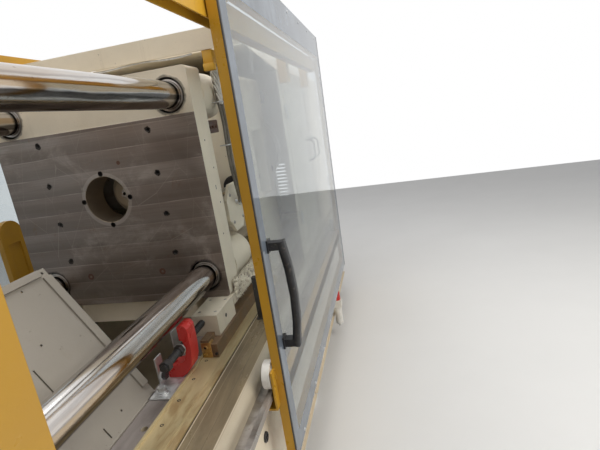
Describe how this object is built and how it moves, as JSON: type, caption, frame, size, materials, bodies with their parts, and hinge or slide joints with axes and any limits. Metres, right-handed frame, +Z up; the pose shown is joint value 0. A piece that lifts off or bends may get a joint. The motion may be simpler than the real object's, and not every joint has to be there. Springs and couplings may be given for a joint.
{
  "type": "injection moulding machine",
  "caption": "Horizontal injection moulding machine: hydraulic clamp on tie bars, sliding see-through gates, hopper-fed injection unit, cabinet and control panel.",
  "frame": {"origin": "on the floor under the middle of the machine", "axes": "+X along the machine to the injection end, +Y to the rear (non-operator) side, +Z up"},
  "size_m": [5.1, 1.364, 1.95],
  "materials": {
    "cream_paint": "satin, worn",
    "beige_sheet": "satin",
    "yellow_paint": "satin",
    "red_paint": "gloss",
    "red_plastic": "gloss",
    "hard_chrome": "polished",
    "tool_steel": "machined",
    "bin_steel": "brushed",
    "zinc_steel": "galvanised",
    "bronze": "machined",
    "black_steel": "oiled black",
    "blue_paint": "satin",
    "black_rubber": "matt",
    "black_plastic": "satin",
    "white_plastic": "satin",
    "grey_plastic": "satin",
    "clear_pane": "clear"
  },
  "bodies": {
    "frame": {"clamp_bed": "cream_paint", "injection_bed": "cream_paint", "levelling_feet": "zinc_steel", "way_strips": "bronze", "roller_tracks": "tool_steel", "lower_panels": "cream_paint", "chute_panel": "beige_sheet", "end_guard": "cream_paint", "guard_frame": "yellow_paint", "cross_beam": "cream_paint", "fixed_platen": "cream_paint", "rear_platen": "cream_paint", "tie_bars": "hard_chrome", "tie_bar_nuts": "black_steel", "clamp_cylinder": "cream_paint", "traverse_cylinders": "black_steel", "injection_rails": "hard_chrome", "carriage_cylinders": "black_steel", "cabinet": "cream_paint", "pump_motor": "blue_paint", "air_regulator": "white_plastic"},
    "moving_platen": {"moving_platen": "cream_paint", "slide_shoes": "cream_paint", "way_wipers": "black_rubber", "clamp_ram": "hard_chrome", "traverse_rods": "hard_chrome", "tie_bar_bushes": "bronze", "side_plates": "cream_paint", "ejector_cylinders": "black_steel", "platen_hoses": "black_rubber", "lock_bracket": "red_paint", "lock_screws": "black_steel", "lock_angle": "zinc_steel"},
    "ejector": {"ejector_plate": "tool_steel"},
    "rear_gate": {"rear_gate_frame": "yellow_paint", "rear_gate_pane": "clear_pane", "rear_gate_handle": "black_plastic"},
    "rear_roller_front": {"rear_roller_front": "white_plastic"},
    "rear_roller_back": {"rear_roller_back": "white_plastic"},
    "front_gate": {"front_gate_frame": "yellow_paint", "front_gate_pane": "clear_pane", "front_gate_handle": "black_plastic"},
    "front_roller_front": {"front_roller_front": "white_plastic"},
    "front_roller_back": {"front_roller_back": "white_plastic"},
    "carriage": {"carriage": "cream_paint", "barrel": "tool_steel", "heater_bands": "tool_steel", "barrel_guard": "cream_paint", "hopper": "bin_steel"},
    "crosshead": {"crosshead": "cream_paint", "screw_motor": "black_steel"},
    "screw": {"screw": "tool_steel"},
    "hopper_lid": {"hopper_lid": "bin_steel"},
    "hopper_slide": {"hopper_slide": "tool_steel"},
    "purge_guard": {"purge_guard": "cream_paint"},
    "cabinet_door": {"cabinet_door": "cream_paint"},
    "main_switch": {"main_switch": "red_plastic"},
    "control_panel": {"control_panel": "grey_plastic"},
    "emergency_button": {"emergency_button": "red_plastic"},
    "regulator_knob": {"regulator_knob": "red_plastic"}
  },
  "joints": [
    {"name": "platen_slide", "type": "slide", "parent": "frame", "child": "moving_platen", "axis": [1, 0, 0], "range_m": [0, 0.35]},
    {"name": "ejector_slide", "type": "slide", "parent": "moving_platen", "child": "ejector", "axis": [1, 0, 0], "range_m": [0, 0.06]},
    {"name": "rear_gate_slide", "type": "slide", "parent": "frame", "child": "rear_gate", "axis": [1, 0, 0], "range_m": [0, 0.68]},
    {"name": "rear_roller_front_turn", "type": "hinge", "parent": "rear_gate", "child": "rear_roller_front", "pos_m": [-0.405, 0.577, 0.65], "axis": [0, 1, 0], "range_deg": [-1000, 1000]},
    {"name": "rear_roller_back_turn", "type": "hinge", "parent": "rear_gate", "child": "rear_roller_back", "pos_m": [-1.985, 0.577, 0.65], "axis": [0, 1, 0], "range_deg": [-1000, 1000]},
    {"name": "front_gate_slide", "type": "slide", "parent": "frame", "child": "front_gate", "axis": [-1, 0, 0], "range_m": [0, 0.68]},
    {"name": "front_roller_front_turn", "type": "hinge", "parent": "front_gate", "child": "front_roller_front", "pos_m": [0.278, -0.577, 0.65], "axis": [0, 1, 0], "range_deg": [-1000, 1000]},
    {"name": "front_roller_back_turn", "type": "hinge", "parent": "front_gate", "child": "front_roller_back", "pos_m": [-1.302, -0.577, 0.65], "axis": [0, 1, 0], "range_deg": [-1000, 1000]},
    {"name": "carriage_slide", "type": "slide", "parent": "frame", "child": "carriage", "axis": [1, 0, 0], "range_m": [0, 0.3]},
    {"name": "crosshead_slide", "type": "slide", "parent": "carriage", "child": "crosshead", "axis": [-1, 0, 0], "range_m": [0, 0.18]},
    {"name": "screw_turn", "type": "hinge", "parent": "crosshead", "child": "screw", "pos_m": [2.2, 0, 1.15], "axis": [1, 0, 0], "continuous": true},
    {"name": "hopper_lid_hinge", "type": "hinge", "parent": "carriage", "child": "hopper_lid", "pos_m": [1.74, 0, 1.88], "axis": [0, 1, 0], "range_deg": [0, 105]},
    {"name": "hopper_slide_pull", "type": "slide", "parent": "carriage", "child": "hopper_slide", "axis": [0, -1, 0], "range_m": [0, 0.075]},
    {"name": "purge_guard_hinge", "type": "hinge", "parent": "frame", "child": "purge_guard", "pos_m": [0.514, 0, 1.322], "axis": [0, -1, 0], "range_deg": [0, 92]},
    {"name": "cabinet_door_hinge", "type": "hinge", "parent": "frame", "child": "cabinet_door", "pos_m": [2.428, 0.648, 0.45], "axis": [0, 0, -1], "range_deg": [0, 110]},
    {"name": "main_switch_turn", "type": "hinge", "parent": "cabinet_door", "child": "main_switch", "pos_m": [1.51, 0.66, 0.63], "axis": [0, 1, 0], "range_deg": [0, 90]},
    {"name": "control_panel_swivel", "type": "hinge", "parent": "frame", "child": "control_panel", "pos_m": [0.59, -0.582, 1.46], "axis": [0, 0, 1], "range_deg": [-90, 15]},
    {"name": "emergency_button_press", "type": "slide", "parent": "control_panel", "child": "emergency_button", "axis": [0, 1, 0], "range_m": [0, 0.005], "stiffness_N_per_m": 400},
    {"name": "regulator_knob_turn", "type": "hinge", "parent": "frame", "child": "regulator_knob", "pos_m": [-1.79, 0.578, 0.24], "axis": [0, 0, 1], "continuous": true}
  ],
  "couplings": [
    {"joint": "rear_roller_front_turn", "follows": "rear_gate_slide", "rad_per_m": 25.189},
    {"joint": "rear_roller_back_turn", "follows": "rear_gate_slide", "rad_per_m": 25.189},
    {"joint": "front_roller_front_turn", "follows": "front_gate_slide", "rad_per_m": -25.189},
    {"joint": "front_roller_back_turn", "follows": "front_gate_slide", "rad_per_m": -25.189}
  ]
}
